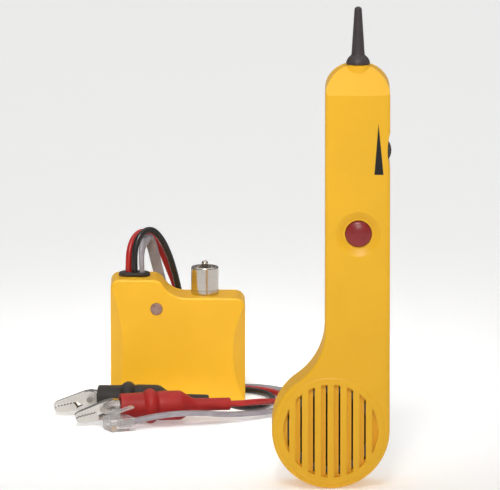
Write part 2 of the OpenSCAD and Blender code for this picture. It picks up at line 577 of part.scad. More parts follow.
module probe_button() {
  // a domed cap, its retaining flange behind the pad, and the stem
  color("#8e2f2e") at_probe() translate([btn_x, 0, btn_z]) rotate([90, 0, 0]) rotate_extrude($fn = 64) polygon(concat(
    [[0, ht - 6.2], [1.8, ht - 6.2], [1.8, ht - 4.7], [7.2, ht - 4.7], [7.2, ht - 3.7], [button_r, ht - 3.7], [button_r, ht - 0.5]],
    [for (i = [1:7]) let (r = button_r * (8 - i) / 8) [r, ht + 0.5 - (17.9 - sqrt(320.4 - r * r))]],
    [[0, ht + 0.5]]));
}
module button_switch() {
  color("#3c3c3e") at_probe() {
    block([btn_x - 3, -4.6, btn_z - 3], [btn_x + 3, -1.1, btn_z + 3]);
    rod_y(btn_x, btn_z, 1.7, -6.2, -4.5);
  }
}
module volume_wheel() {
  color("#26231f") at_probe() difference() {
    union() {
      translate([whl_x, -9.2, whl_z]) rotate([90, 0, 0]) linear_extrude(2.8)
        polygon([for (i = [0:95]) [(wheel_r - (i % 2) * 0.3) * cos(i * 3.75), (wheel_r - (i % 2) * 0.3) * sin(i * 3.75)]]);
      rod_y(whl_x, whl_z, 1.5, -9.3, -5);
    }
    rod_y(whl_x, whl_z, 1.4, -12.5, -11.2);
  }
}
module volume_pot() {
  color("#6a6d70") at_probe() difference() {
    rod_y(whl_x, whl_z, 4.5, -8.2, -1.1);
    rod_y(whl_x, whl_z, 1.56, -9, -4.6);
  }
}
module probe_circuit_board() {
  at_probe() {
    color("#2f6b3a") block([-12.6, -1.1, 113.5], [12.6, 0.5, 176]);
    color("#222222") block([-8, 0.5, 140], [2, 2.4, 146]);
    color("#3a3f55") rod_y(-7, 130, 3, 0.5, 6);
    color("#3a3f55") rod_y(5, 168, 2.5, 0.5, 6);
  }
}
module speaker_frame() {
  color("#55575a") at_probe() translate([hx, 0, head_r]) rotate([-90, 0, 0]) rotate_extrude() polygon([
    [20, -11], [20, -9.4], [18.6, -9.4], [18.6, -8.2], [10, -3.4], [10, -2.2], [3.2, -2.2], [3.2, -3.4], [9.2, -4.2], [17.4, -8.8], [17.4, -11]]);
}
module speaker_cone() {
  color("#1d1d1f") at_probe() translate([hx, 0, head_r]) rotate([-90, 0, 0]) rotate_extrude() polygon([
    [17.3, -10.7], [17.3, -10.2], [15.6, -9.6], [6.5, -6.4], [3, -7.2], [0, -7.4], [0, -8], [3, -7.8], [6.5, -7], [15.4, -10.2]]);
}
module speaker_magnet() {
  color("#b7b9bb") at_probe() difference() {
    rod_y(hx, head_r, 9.5, -2.2, 3.2);
    rod_y(hx, head_r, 2.8, -3, 1.5);
  }
}
module probe_nine_volt() {
  // the same battery standing on end, terminals up
  color("#4b5a78") block([-13.1, -5, 60], [13.1, 12.2, 106.3]);
  color(nickel) {
    rod_z(-6.3, 3.6, 2.9, 106.3, 108.5);
    rod_z(6.3, 3.6, 3.6, 106.3, 108.5, $fn = 6);
  }
}
module probe_battery() { at_probe() probe_nine_volt(); }
module probe_battery_snap() {
  color(black) at_probe() difference() {
    block([-11.5, -2.4, 106.7], [11.5, 9.6, 109.9]);
    rod_z(-6.3, 3.6, 3.2, 106, 108.8);
    rod_z(6.3, 3.6, 3.9, 106, 108.8);
  }
}

gen_front_shell();
gen_back_shell();
gen_battery_door();
gen_case_screws();
gen_grommet();
gen_status_led();
gen_circuit_board();
gen_switch_body();
gen_switch_slider();
gen_battery();
gen_battery_snap();
coax_sleeve();
coax_insulator();
coax_center_pin();
coax_nut();
red_lead();
black_lead();
modular_cord();
red_boot();
red_lower_jaw();
red_upper_jaw();
red_clip_pivot();
red_clip_spring();
black_boot();
black_lower_jaw();
black_upper_jaw();
black_clip_pivot();
black_clip_spring();
plug_body();
plug_contacts();
plug_latch();
probe_front_shell();
probe_back_shell();
probe_battery_door();
probe_case_screws();
probe_tip();
pickup_rod();
probe_button();
button_switch();
volume_wheel();
volume_pot();
probe_circuit_board();
speaker_frame();
speaker_cone();
speaker_magnet();
probe_battery();
probe_battery_snap();
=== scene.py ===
import bpy, bmesh, math
from math import sin, cos, pi, radians, sqrt, atan2, degrees
from mathutils import Vector, Matrix


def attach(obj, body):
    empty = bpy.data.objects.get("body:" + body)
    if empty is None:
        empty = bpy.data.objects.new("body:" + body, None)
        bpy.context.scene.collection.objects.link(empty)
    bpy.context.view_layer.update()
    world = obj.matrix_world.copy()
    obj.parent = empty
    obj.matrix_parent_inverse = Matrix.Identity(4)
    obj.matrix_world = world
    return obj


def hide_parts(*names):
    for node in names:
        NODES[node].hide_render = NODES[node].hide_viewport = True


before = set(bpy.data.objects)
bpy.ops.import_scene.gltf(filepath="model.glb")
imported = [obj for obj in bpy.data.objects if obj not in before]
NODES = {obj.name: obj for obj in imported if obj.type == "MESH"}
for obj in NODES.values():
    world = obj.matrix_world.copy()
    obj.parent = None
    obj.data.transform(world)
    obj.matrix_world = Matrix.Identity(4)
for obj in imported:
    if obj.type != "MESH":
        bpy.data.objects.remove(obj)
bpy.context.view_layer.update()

MM = 0.001
coll = bpy.context.scene.collection

# ------------------------------------------------------------------ camera
cam_data = bpy.data.cameras.new("cam")
cam = bpy.data.objects.new("cam", cam_data)
coll.objects.link(cam)
cam_data.type = 'PERSP'
cam_data.sensor_width = 36.0
cam_data.lens = 909.2
cam_data.clip_start = 0.5
cam_data.clip_end = 200.0
cam.location = (0.0343, -5.9208, 1.1183)
cam.rotation_euler = (radians(80), 0, 0)
bpy.context.scene.camera = cam


# ------------------------------------------------------------------ materials
def lin(c):
    out = []
    for v in c[:3]:
        v = v / 255.0
        out.append(v / 12.92 if v <= 0.04045 else ((v + 0.055) / 1.055) ** 2.4)
    return out


def material(name, col, rough=0.4, metal=0.0, var=0.05, var_scale=60.0, grain=900.0, bump=0.05, bump_dist=0.00004,
             rough_var=0.08, wear_and_edge_highlight=0.0, wear_and_edge_highlight_col=None, painted_hollow_shade=0.0, spec=0.5, coat=0.0, coat_rough=0.1, trans=0.0, ior=1.45,
             streak=None, emission=0.0, sss=0.0, sheen=0.0, detail=4.0, col2=None, fine=0.0, fine_scale=3000.0):
    m = bpy.data.materials.new(name)
    m.use_nodes = True
    nt = m.node_tree
    nt.nodes.clear()
    N, L = nt.nodes.new, nt.links.new
    out = N('ShaderNodeOutputMaterial')
    p = N('ShaderNodeBsdfPrincipled')
    L(p.outputs[0], out.inputs[0])
    tc = N('ShaderNodeTexCoord')
    base = lin(col)
    p.inputs['Metallic'].default_value = metal
    p.inputs['IOR'].default_value = ior
    p.inputs['Specular IOR Level'].default_value = spec
    p.inputs['Coat Weight'].default_value = coat
    p.inputs['Coat Roughness'].default_value = coat_rough
    p.inputs['Transmission Weight'].default_value = trans
    p.inputs['Sheen Weight'].default_value = sheen
    if emission:
        p.inputs['Emission Color'].default_value = (*base, 1)
        p.inputs['Emission Strength'].default_value = emission
    if sss:
        p.inputs['Subsurface Weight'].default_value = sss
        p.inputs['Subsurface Scale'].default_value = 0.002
    vec = tc.outputs['Object']
    if streak:
        mp = N('ShaderNodeMapping')
        mp.inputs['Scale'].default_value = streak
        L(vec, mp.inputs['Vector'])
        vec = mp.outputs['Vector']
    # broad colour variation
    n1 = N('ShaderNodeTexNoise')
    n1.inputs['Scale'].default_value = var_scale
    n1.inputs['Detail'].default_value = detail
    L(vec, n1.inputs['Vector'])
    r1 = N('ShaderNodeValToRGB')
    r1.color_ramp.elements[0].position = 0.32
    r1.color_ramp.elements[1].position = 0.68
    lo = [v * (1 - var) for v in base]
    hi = [min(1.0, v * (1 + var * 0.6)) for v in base]
    if col2 is not None:
        lo = lin(col2)
    r1.color_ramp.elements[0].color = (*lo, 1)
    r1.color_ramp.elements[1].color = (*hi, 1)
    L(n1.outputs['Fac'], r1.inputs['Fac'])
    colour = r1.outputs['Color']
    if fine:
        n4 = N('ShaderNodeTexNoise')
        n4.inputs['Scale'].default_value = fine_scale
        n4.inputs['Detail'].default_value = 2
        L(vec, n4.inputs['Vector'])
        mx = N('ShaderNodeMix')
        mx.data_type = 'RGBA'
        mx.blend_type = 'MULTIPLY'
        mx.inputs['Factor'].default_value = fine
        L(colour, mx.inputs['A'])
        rr = N('ShaderNodeValToRGB')
        rr.color_ramp.elements[0].position = 0.35
        rr.color_ramp.elements[1].position = 0.65
        rr.color_ramp.elements[0].color = (0.7, 0.7, 0.7, 1)
        L(n4.outputs['Fac'], rr.inputs['Fac'])
        L(rr.outputs['Color'], mx.inputs['B'])
        colour = mx.outputs['Result']
    if wear_and_edge_highlight or painted_hollow_shade:
        g = N('ShaderNodeNewGeometry')
    # lightens convex edges (pointiness) in noisy patches: partly rubbed wear, partly a painted edge highlight
    if wear_and_edge_highlight:
        wear_highlight_ramp = N('ShaderNodeValToRGB')
        wear_highlight_ramp.color_ramp.elements[0].position = 0.51
        wear_highlight_ramp.color_ramp.elements[1].position = 0.60
        L(g.outputs['Pointiness'], wear_highlight_ramp.inputs['Fac'])
        n5 = N('ShaderNodeTexNoise')
        n5.inputs['Scale'].default_value = var_scale * 6
        L(tc.outputs['Object'], n5.inputs['Vector'])
        mul = N('ShaderNodeMath')
        mul.operation = 'MULTIPLY'
        L(wear_highlight_ramp.outputs['Color'], mul.inputs[0])
        L(n5.outputs['Fac'], mul.inputs[1])
        sc = N('ShaderNodeMath')
        sc.operation = 'MULTIPLY'
        sc.inputs[1].default_value = wear_and_edge_highlight
        L(mul.outputs[0], sc.inputs[0])
        mx = N('ShaderNodeMix')
        mx.data_type = 'RGBA'
        wear_highlight_col = lin(wear_and_edge_highlight_col) if wear_and_edge_highlight_col else [min(1.0, v * 1.25 + 0.03) for v in base]
        mx.inputs['B'].default_value = (*wear_highlight_col, 1)
        L(sc.outputs[0], mx.inputs['Factor'])
        L(colour, mx.inputs['A'])
        colour = mx.outputs['Result']
    # darkens concave hollows and creases (pointiness): painted shade
    if painted_hollow_shade:
        hollow_shade_ramp = N('ShaderNodeValToRGB')
        hollow_shade_ramp.color_ramp.elements[0].position = 0.40
        hollow_shade_ramp.color_ramp.elements[1].position = 0.495
        hollow_shade_ramp.color_ramp.elements[0].color = (1 - painted_hollow_shade, 1 - painted_hollow_shade, 1 - painted_hollow_shade, 1)
        L(g.outputs['Pointiness'], hollow_shade_ramp.inputs['Fac'])
        mx = N('ShaderNodeMix')
        mx.data_type = 'RGBA'
        mx.blend_type = 'MULTIPLY'
        mx.inputs['Factor'].default_value = 1.0
        L(colour, mx.inputs['A'])
        L(hollow_shade_ramp.outputs['Color'], mx.inputs['B'])
        colour = mx.outputs['Result']
    L(colour, p.inputs['Base Color'])
    # roughness
    n2 = N('ShaderNodeTexNoise')
    n2.inputs['Scale'].default_value = var_scale * 2.3
    n2.inputs['Detail'].default_value = 5
    L(vec, n2.inputs['Vector'])
    mr = N('ShaderNodeMapRange')
    mr.inputs['From Min'].default_value = 0.3
    mr.inputs['From Max'].default_value = 0.7
    mr.inputs['To Min'].default_value = max(0.02, rough - rough_var)
    mr.inputs['To Max'].default_value = min(1.0, rough + rough_var)
    L(n2.outputs['Fac'], mr.inputs['Value'])
    L(mr.outputs['Result'], p.inputs['Roughness'])
    # fine surface texture
    n3 = N('ShaderNodeTexNoise')
    n3.inputs['Scale'].default_value = grain
    n3.inputs['Detail'].default_value = 3
    L(vec, n3.inputs['Vector'])
    b = N('ShaderNodeBump')
    b.inputs['Strength'].default_value = bump
    b.inputs['Distance'].default_value = bump_dist
    L(n3.outputs['Fac'], b.inputs['Height'])
    L(b.outputs['Normal'], p.inputs['Normal'])
    return m


YEL = (244, 185, 34)
# materials given edge wear have their convex edges lightened in patches: part real wear, part painted edge highlight
MAT = {
    "case": material("case_abs", YEL, rough=0.42, var=0.035, var_scale=35, grain=2600, bump=0.22, bump_dist=0.00005,
                     rough_var=0.05, fine=0.10, fine_scale=4200, spec=0.45),
    # a darker copy of the case plastic for the inner faces: painted shade
    "case_inner_shaded": material("case_abs_inner_shaded", (214, 160, 40), rough=0.6, var=0.05, grain=1500, bump=0.2),
    "screw": material("zinc_steel", (150, 147, 142), rough=0.35, metal=1.0, var=0.12, var_scale=300, grain=3000, bump=0.1,
                      streak=(1, 1, 6)),
    "black_rubber": material("black_rubber", (40, 35, 31), rough=0.52, var=0.2, var_scale=120, grain=2400, bump=0.25,
                             wear_and_edge_highlight=0.5, wear_and_edge_highlight_col=(92, 84, 76), spec=0.4, sheen=0.06),
    # red rubber: its creases are darkened with painted shade
    "red_rubber": material("red_rubber", (164, 32, 28), rough=0.46, var=0.08, var_scale=110, grain=2400, bump=0.18,
                           wear_and_edge_highlight=0.25, wear_and_edge_highlight_col=(214, 80, 70), spec=0.35, col2=(152, 28, 25), painted_hollow_shade=0.3),
    "black_plastic": material("black_plastic", (38, 35, 36), rough=0.38, var=0.2, var_scale=90, grain=3000, bump=0.2,
                              wear_and_edge_highlight=0.5, wear_and_edge_highlight_col=(105, 98, 100)),
    "tip": material("tip_plastic", (64, 56, 58), rough=0.5, var=0.12, var_scale=120, grain=2600, bump=0.2,
                    wear_and_edge_highlight=0.35, wear_and_edge_highlight_col=(110, 100, 104)),
    "red_pvc": material("red_pvc", (176, 31, 26), rough=0.36, var=0.10, var_scale=160, grain=1800, bump=0.12,
                        coat=0.1, coat_rough=0.25),
    "black_pvc": material("black_pvc", (30, 28, 27), rough=0.32, var=0.2, var_scale=160, grain=1800, bump=0.12,
                          coat=0.15, coat_rough=0.25),
    "grey_pvc": material("grey_pvc", (156, 150, 156), rough=0.42, var=0.06, var_scale=140, grain=1600, bump=0.12,
                         col2=(140, 134, 140)),
    "nickel": material("bright_nickel", (205, 198, 190), rough=0.2, metal=1.0, var=0.03, var_scale=90, grain=700,
                       bump=0.004, rough_var=0.02, streak=(1, 1, 9)),
    # plated clip: its teeth and creases are darkened with painted shade
    "clip": material("plated_steel", (200, 195, 189), rough=0.19, metal=1.0, var=0.10, var_scale=150, grain=1500,
                     bump=0.04, rough_var=0.05, painted_hollow_shade=0.6, wear_and_edge_highlight=0.4, wear_and_edge_highlight_col=(228, 224, 220)),
    "spring": material("spring_wire", (120, 118, 114), rough=0.3, metal=1.0, var=0.15, var_scale=300, grain=2500, bump=0.1),
    "insul": material("white_poly", (226, 222, 210), rough=0.5, var=0.04, var_scale=200, grain=2500, bump=0.1, sss=0.2),
    "clear": material("clear_plastic", (252, 249, 248), rough=0.07, var=0.02, var_scale=200, grain=1200, bump=0.05,
                      trans=0.81, ior=1.45, rough_var=0.03, spec=0.6),
    "gold": material("gold_contacts", (214, 172, 84), rough=0.22, metal=1.0, var=0.12, var_scale=500, grain=4000, bump=0.05),
    "button": material("maroon_cap", (142, 30, 30), rough=0.3, var=0.12, var_scale=120, grain=1400, bump=0.05,
                       coat=0.35, coat_rough=0.2, wear_and_edge_highlight=0.2, wear_and_edge_highlight_col=(190, 90, 90), col2=(132, 26, 28)),
    "board": material("solder_mask", (30, 98, 52), rough=0.35, var=0.25, var_scale=420, grain=2400, bump=0.2, detail=8),
    "battery": material("battery_can", (60, 74, 116), rough=0.3, metal=0.6, var=0.08, var_scale=80, grain=900, bump=0.05,
                        wear_and_edge_highlight=0.4, wear_and_edge_highlight_col=(170, 172, 180)),
    "switch": material("switch_plastic", (70, 69, 72), rough=0.45, var=0.1, var_scale=200, grain=2600, bump=0.2),
    "led": material("led_lens", (188, 152, 142), rough=0.08, var=0.1, var_scale=400, grain=2500, bump=0.04, trans=0.3, coat=0.8, coat_rough=0.04,
                    ior=1.5, sss=0.15, col2=(160, 124, 116)),
    # yellow-brown tone for the lamp bezel and die: the darker yellow paints the shade ring round the lamp
    "lamp_rim_shade_tone": material("lamp_rim_shade_tone", (176, 128, 60), rough=0.4, var=0.2, var_scale=400, grain=2500, bump=0.1),
    "pot": material("pressed_can", (165, 165, 166), rough=0.3, metal=1.0, var=0.1, var_scale=200, grain=2000, bump=0.1),
    "speaker": material("speaker_steel", (92, 92, 94), rough=0.4, metal=0.9, var=0.15, var_scale=200, grain=2000, bump=0.1),
    "paper": material("speaker_paper", (34, 33, 34), rough=0.9, var=0.3, var_scale=800, grain=3500, bump=0.5),
    "magnet": material("ferrite", (96, 96, 99), rough=0.55, metal=0.4, var=0.2, var_scale=300, grain=1800, bump=0.3),
    "pickup": material("pickup_rod", (172, 126, 70), rough=0.35, metal=0.9, var=0.15, var_scale=300, grain=2500, bump=0.1),
    "mark": material("black_print", (16, 14, 13), rough=0.55, var=0.2, var_scale=500, grain=3600, bump=0.25),
}


def paint(o, m):
    o.data.materials.clear()
    o.data.materials.append(MAT[m])


# ------------------------------------------------------------------ mesh helpers
def new_obj(name, verts, faces, m=None, scale=MM):
    me = bpy.data.meshes.new(name)
    me.from_pydata([tuple(c * scale for c in v) for v in verts], [], faces)
    me.update()
    o = bpy.data.objects.new(name, me)
    coll.objects.link(o)
    fix(o)
    if m:
        paint(o, m)
    return o


def fix(o):
    bm = bmesh.new()
    bm.from_mesh(o.data)
    bmesh.ops.remove_doubles(bm, verts=bm.verts, dist=2e-7)
    bmesh.ops.recalc_face_normals(bm, faces=bm.faces)
    bm.to_mesh(o.data)
    bm.free()


def smooth(o, angle=32):
    bm = bmesh.new()
    bm.from_mesh(o.data)
    for f in bm.faces:
        f.smooth = True
    lim = radians(angle)
    for ed in bm.edges:
        if len(ed.link_faces) == 2:
            ed.smooth = ed.calc_face_angle(0) < lim
        else:
            ed.smooth = False
    bm.to_mesh(o.data)
    bm.free()


def bake(o):
    """Applies the object's modifiers to its mesh."""
    dg = bpy.context.evaluated_depsgraph_get()
    dg.update()
    me = bpy.data.meshes.new_from_object(o.evaluated_get(dg))
    mats = [s for s in o.data.materials]
    o.modifiers.clear()
    o.data = me
    if not me.materials:
        for s in mats:
            me.materials.append(s)


def bools(o, cuts=(), adds=()):
    for kind, group in (('UNION', adds), ('DIFFERENCE', cuts)):
        for c in group:
            before = len(o.data.polygons)
            spare = o.data.copy()
            md = o.modifiers.new("b", 'BOOLEAN')
            md.operation = kind
            md.solver = 'EXACT'
            md.object = c
            bake(o)
            if len(o.data.polygons) < before * 0.3:
                print("boolean lost the mesh, kept as it was:", o.name, kind, [round(v / MM, 1) for v in c.dimensions])
                o.data = spare
            fix(o)
    for c in list(cuts) + list(adds):
        me = c.data
        bpy.data.objects.remove(c)
        if me.users == 0:
            bpy.data.meshes.remove(me)
    fix(o)


def finish(o, m, w, angle, sharp):
    """Rounds the edges of a case piece and keeps its big faces flat."""
    bevel(o, w, 2, angle)
    smooth(o, sharp)
    for p in o.data.polygons:
        if abs(p.normal.y) > 0.9998 or p.area > 60 * MM * MM:
            p.use_smooth = False
    paint(o, m)
    wn = o.modifiers.new("normals", 'WEIGHTED_NORMAL')
    wn.keep_sharp = True
    wn.weight = 100


def bevel(o, w, seg=2, angle=35, apply=True):
    md = o.modifiers.new("bev", 'BEVEL')
    md.width = w * MM
    md.segments = seg
    md.limit_method = 'ANGLE'
    md.angle_limit = radians(angle)
    md.use_clamp_overlap = True
    md.harden_normals = False
    md.miter_outer = 'MITER_ARC'
    if apply:
        bake(o)


def loft(name, rings, m=None, closed=False):
    n = len(rings[0])
    verts = [v for r in rings for v in r]
    faces = []
    for i in range(len(rings) - 1):
        for k in range(n):
            faces.append((i * n + k, i * n + (k + 1) % n, (i + 1) * n + (k + 1) % n, (i + 1) * n + k))
    if closed:
        for k in range(n):
            a = (len(rings) - 1) * n
            faces.append((a + k, a + (k + 1) % n, (k + 1) % n, k))
    else:
        faces.append(tuple(reversed(range(n))))
        faces.append(tuple(range((len(rings) - 1) * n, len(rings) * n)))
    return new_obj(name, verts, faces, m)


def lathe(name, prof, m=None, seg=96, frame_m=None, angle=30, sm=True):
    """Revolves (radius, height) points about local Z; a profile that ends on the axis closes there."""
    verts, faces, rows = [], [], []
    for r, h in prof:
        if r <= 1e-9:
            rows.append([len(verts)])
            verts.append((0, 0, h))
        else:
            rows.append(list(range(len(verts), len(verts) + seg)))
            verts += [(r * cos(2 * pi * k / seg), r * sin(2 * pi * k / seg), h) for k in range(seg)]
    n = len(rows)
    loop = prof[0][0] > 1e-9 and prof[-1][0] > 1e-9
    for i in range(n if loop else n - 1):
        a, b = rows[i], rows[(i + 1) % n]
        for k in range(seg):
            k2 = (k + 1) % seg
            if len(a) == 1 and len(b) == 1:
                break
            if len(a) == 1:
                faces.append((a[0], b[k], b[k2]))
            elif len(b) == 1:
                faces.append((a[k], a[k2], b[0]))
            else:
                faces.append((a[k], a[k2], b[k2], b[k]))
    if frame_m is not None:
        verts = [tuple(frame_m @ Vector(v)) for v in verts]
    o = new_obj(name, verts, faces, m)
    if sm:
        smooth(o, angle)
    return o


def cyl_y(x, z, r, y0, y1, seg=64, r2=None):
    r2 = r if r2 is None else r2
    M = Matrix.Translation((x, y1, z)) @ Matrix.Rotation(pi / 2, 4, 'X')
    return lathe("c", [(0, 0), (r2, 0), (r, y1 - y0), (0, y1 - y0)], None, seg, M, sm=False)


def cyl_z(x, y, r, z0, z1, seg=64, r2=None):
    r2 = r if r2 is None else r2
    M = Matrix.Translation((x, y, z0))
    return lathe("c", [(0, 0), (r, 0), (r2, z1 - z0), (0, z1 - z0)], None, seg, M, sm=False)


def box(a, b):
    v = [(x, y, z) for x in (a[0], b[0]) for y in (a[1], b[1]) for z in (a[2], b[2])]
    f = [(0, 1, 3, 2), (4, 6, 7, 5), (0, 4, 5, 1), (2, 3, 7, 6), (0, 2, 6, 4), (1, 5, 7, 3)]
    return new_obj("c", v, f)


def prism_x(pts, x0, x1):
    return loft("c", [[(x0, y, z) for y, z in pts], [(x1, y, z) for y, z in pts]])


def prism_y(pts, y0, y1):
    return loft("c", [[(x, y0, z) for x, z in pts], [(x, y1, z) for x, z in pts]])


def arc(c, r, a0, a1, n):
    return [(c[0] + r * cos(radians(a0 + (a1 - a0) * i / n)), c[1] + r * sin(radians(a0 + (a1 - a0) * i / n)))
            for i in range(n + 1)]


def catmull(P, m=8):
    out = []
    n = len(P)
    for i in range(n - 1):
        p0, p1, p2, p3 = P[max(i - 1, 0)], P[i], P[i + 1], P[min(i + 2, n - 1)]
        for k in range(m):
            t = k / m
            out.append([0.5 * (2 * b + (c - a) * t + (2 * a - 5 * b + 4 * c - d) * t * t + (3 * b - a - 3 * c + d) * t ** 3)
                        for a, b, c, d in zip(p0, p1, p2, p3)])
    out.append(list(P[-1]))
    return out


def relax(P, keep=2, times=6):
    """Evens out a fine line without moving its ends."""
    P = [list(p) for p in P]
    for _ in range(times):
        Q = [list(p) for p in P]
        for i in range(keep, len(P) - keep):
            for c in range(3):
                Q[i][c] = 0.25 * P[i - 1][c] + 0.5 * P[i][c] + 0.25 * P[i + 1][c]
        P = Q
    return P


def length(P):
    return sum(sqrt(sum((a - b) ** 2 for a, b in zip(p[:3], q[:3]))) for p, q in zip(P, P[1:]))


def stand(obj, body, *nodes):
    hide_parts(*nodes)
    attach(obj, body)


# ------------------------------------------------------------------ cords
RED = [[-23.6, 1.1, 55.5], [-23.6, 1.1, 62], [-23.5, 1.5, 66.3], [-23.2, 2.5, 70.4], [-22.3, 4.3, 74.1], [-20.7, 6.7, 77],
       [-18.5, 9.5, 78.6], [-16, 12.3, 78.5], [-13.2, 14.9, 76.4], [-10.3, 17.1, 72.2], [-7.4, 18.8, 66.4], [-4.6, 19.9, 59.4],
       [-1.8, 20.6, 52], [1, 21, 43], [4.2, 21, 33], [8, 20.7, 22.5], [13, 20.2, 12.5], [19, 19.6, 5.5], [26.5, 18.8, 2],
       [34, 16.6, 1.6], [41, 12.5, 1.6], [46.5, 6, 1.6], [49.8, -2, 1.6], [51.2, -10.5, 1.9], [51, -19, 2.6],
       [49.2, -27.5, 3.8], [45.8, -36, 5.3], [41.5, -44, 6.8], [36.5, -51, 7.9], [31, -56, 8.3], [25, -57.7, 8.3],
       [4, -60.6, 8.3]]
BLACK = [[-20.6, -0.5, 55.5], [-20.6, -0.5, 62], [-20.7, -0.5, 66], [-20.6, -0.2, 70.5], [-19.8, 0.7, 74.8], [-18.2, 2.1, 78.3],
         [-15.6, 3.9, 80.5], [-12.7, 6, 80.6], [-10, 8, 78.5], [-7.4, 9.9, 74.6], [-5, 11.6, 69.4], [-3, 13, 63.4],
         [-1.2, 14.2, 56.8], [0.4, 15, 49.5], [2.2, 15.3, 40.5], [4.5, 15.2, 31], [7.5, 15, 21.5], [11.5, 14.7, 12.5],
         [17, 14.6, 5.5], [24, 14.8, 2], [31, 14.2, 1.6], [37, 11, 1.6], [41.5, 5.2, 1.6], [44.2, -2, 1.6], [45.2, -10, 1.6],
         [44.4, -18.5, 1.6], [42, -26.5, 1.6], [38, -33.5, 1.9], [33, -40, 3], [27.5, -45.6, 4.9], [21.5, -49.3, 7.2],
         [15, -50.4, 8.3], [-6, -47.4, 8.3]]
FLAT = [[-17.1, 0, 55.5, 90], [-17.1, 0, 62, 90], [-17.3, 0.3, 66.3, 88], [-17.3, 1.2, 70.5, 80], [-16.7, 2.9, 74.1, 65],
        [-15.8, 5.3, 76.4, 45], [-14.8, 8, 76.8, 30], [-13.6, 10.6, 75, 15], [-12.5, 12.8, 71.6, 5], [-11.4, 14.5, 67, 0],
        [-10.1, 15.7, 61.5, -5], [-8.6, 16.6, 55.3, -10], [-7, 17.2, 48, -15], [-5.8, 17.7, 40, -20], [-4.6, 18, 31.5, -30],
        [-3, 18.2, 23, -45], [-0.8, 18.6, 15, -60], [3.4, 19.4, 8, -75], [9, 21, 3.2, -80], [16, 23, 1.4, -80],
        [24, 24.4, 1.3, -85], [32.5, 24, 1.3, -100], [40.5, 21.2, 1.3, -115], [47.5, 16, 1.3, -130], [53, 9, 1.3, -145],
        [56.8, 0.5, 1.3, -160], [58.6, -9, 1.3, -175], [58.2, -19, 1.3, -190], [55.6, -28.5, 1.5, -205], [51, -37, 1.8, -215],
        [45, -44.5, 2.2, -225], [38, -51, 2.7, -230], [30, -56.8, 3.2, -235], [21.5, -62.3, 4.1, -240], [13, -67.3, 5.5, -243],
        [4.5, -71.2, 6.3, -248], [-4, -73.8, 6.2, -255], [-12, -75.2, 5.2, -255], [-17.5, -76, 4.1, -250],
        [-22, -77.5, 3.4, -245], [-28, -80.3, 3.3, -245]]


def lead(name, pts, m, node):
    P = relax(catmull(pts, 6), keep=3, times=8)
    cu = bpy.data.curves.new(name, 'CURVE')
    cu.dimensions = '3D'
    sp = cu.splines.new('POLY')
    sp.points.add(len(P) - 1)
    for i, p in enumerate(P):
        sp.points[i].co = (p[0] * MM, p[1] * MM, max(p[2], 1.52) * MM, 1)
    sp.use_smooth = True
    cu.bevel_depth = 1.5 * MM
    cu.bevel_resolution = 6
    cu.use_fill_caps = True
    o = bpy.data.objects.new(name, cu)
    coll.objects.link(o)
    cu.materials.append(MAT[m])
    stand(o, "generator", node)
    return o, length(P) * MM, P[0]


red_cord, red_len, red_exit = lead("red_lead_jacket", RED, "red_pvc", "red_lead")
black_cord, black_len, black_exit = lead("black_lead_jacket", BLACK, "black_pvc", "black_lead")


def flat_cord(name, pts, m, node):
    P = relax(catmull(pts, 6), keep=3, times=8)
    rings = []
    # a rounded flat jacket with faint grooves between its four wires
    prof = []
    for k in range(32):
        a = 2 * pi * k / 32
        x, y = 2.5 * cos(a), 1.25 * sin(a)
        x = 2.5 * (1 if cos(a) >= 0 else -1) * abs(cos(a)) ** 0.62
        y = 1.25 * (1 if sin(a) >= 0 else -1) * abs(sin(a)) ** 0.62
        if abs(sin(a)) > 0.5:
            y *= 1 - 0.045 * (0.5 + 0.5 * cos(x * 2 * pi / 1.25))
        prof.append((x, y))
    for i in range(len(P)):
        a, b = P[max(i - 1, 0)], P[min(i + 1, len(P) - 1)]
        t = Vector([b[c] - a[c] for c in range(3)]).normalized()
        w = Vector((cos(radians(P[i][3])), sin(radians(P[i][3])), 0))
        u = (w - t * w.dot(t)).normalized()
        v = t.cross(u)
        c = Vector(P[i][:3])
        rings.append([tuple(c + u * x + v * y) for x, y in prof])
    rings = [[(x, y, max(z, 0.02)) for x, y, z in r] for r in rings]
    o = loft(name, rings, m)
    smooth(o, 50)
    stand(o, "generator", node)
    return o, P


grey_cord, GP = flat_cord("modular_cord_jacket", FLAT, "grey_pvc", "modular_cord")

# ------------------------------------------------------------------ generator
GW, GD, GH, GL = 32.0, 12.0, 59.5, 50.8
C1 = (-12.0, GH - 6)
C2 = (C1[0] + sqrt(324 - (GL + 12 - C1[1]) ** 2), GL + 12)
SA = degrees(atan2(C2[1] - C1[1], C2[0] - C1[0]))
COAX_X, LED_X, LED_Z, GROM_X = 12.8, -10.2, 45.5, -20.7


def gen_line(d, f=1):
    low = max(2.5 - d, 0.2)
    return (arc((-GW + 2.5, 2.5), low, 180, 270, 6 * f) + arc((GW - 2.5, 2.5), low, 270, 360, 6 * f)
            + arc((GW - 5, GL - 5), 5 - d, 0, 90, 10 * f) + arc(C2, 12 + d, 270, 180 + SA, 14 * f)
            + arc(C1, 6 - d, SA, 90, 10 * f) + arc((-GW + 4, GH - 4), 4 - d, 90, 180, 8 * f))


def rounded_half(line, y_out, R, y_in, steps=6, d0=0.0):
    """Rings from the flat outer face, round its edge, to the split plane."""
    s = 1 if y_in > y_out else -1
    rings = []
    for i in range(steps + 1):
        t = pi / 2 * i / steps
        rings.append([(x, y_out + s * R * (1 - cos(t)), z) for x, z in line(d0 + R * (1 - sin(t)))])
    rings.append([(x, y_in, z) for x, z in line(d0)])
    return rings


